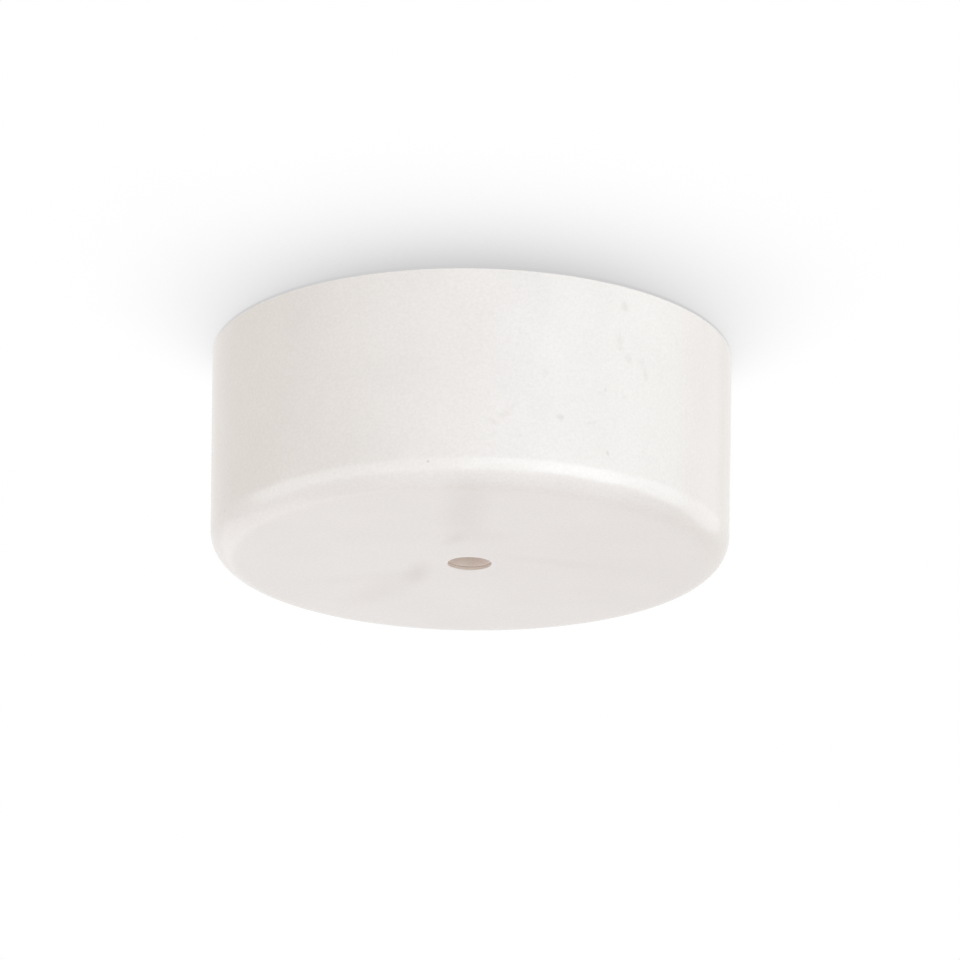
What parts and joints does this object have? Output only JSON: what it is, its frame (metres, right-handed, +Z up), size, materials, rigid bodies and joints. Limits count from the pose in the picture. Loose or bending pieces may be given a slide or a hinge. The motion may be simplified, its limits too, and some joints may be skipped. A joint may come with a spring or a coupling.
{
  "type": "electrical ceiling rose",
  "caption": "White drawn-steel ceiling rose: a round cup with a central cable hole, held by magnets under a folded bracket with a cord grip, terminal block and earth screw.",
  "frame": {"origin": "midway between the bracket's two slots, in the plane of the ceiling", "axes": "+Z up into the ceiling, +X along the bracket from the terminal block to the earth screw, -Y towards the viewer of the picture"},
  "size_m": [0.12, 0.12, 0.0494],
  "materials": {
    "canopy_paint": "satin warm white",
    "bracket_zinc": "zinc-plated sheet",
    "pot_nickel": "nickel-plated",
    "magnet_nickel": "bright nickel",
    "fastener_zinc": "blue zinc",
    "terminal_screw_zinc": "blue zinc",
    "grip_nylon": "moulded nylon, beige brown",
    "grip_nut_nylon": "moulded nylon, beige brown",
    "terminal_plastic": "moulded polyamide",
    "terminal_brass": "drawn brass",
    "earth_brass": "bright brass"
  },
  "bodies": {
    "bracket": {"ceiling_bracket": "bracket_zinc", "front_magnet_pot": "pot_nickel", "rear_magnet_pot": "pot_nickel", "front_ring_magnet": "magnet_nickel", "rear_ring_magnet": "magnet_nickel", "magnet_screws": "fastener_zinc", "magnet_lock_washers": "fastener_zinc", "magnet_nuts": "fastener_zinc", "cord_grip_body": "grip_nylon", "cord_grip_cap": "grip_nylon", "cord_grip_washer": "fastener_zinc", "cord_grip_lock_nut": "grip_nut_nylon", "terminal_housing": "terminal_plastic", "live_terminal_tube": "terminal_brass", "neutral_terminal_tube": "terminal_brass", "terminal_clamp_screws": "terminal_screw_zinc", "terminal_fixing_screw": "fastener_zinc", "earth_clamp_washer": "earth_brass", "earth_spring_washer": "fastener_zinc", "earth_screw": "earth_brass"},
    "canopy": {"canopy": "canopy_paint"}
  },
  "joints": [
    {"name": "canopy_drop", "type": "slide", "parent": "bracket", "child": "canopy", "axis": [0, 0, -1], "range_m": [0, 0.08]}
  ]
}
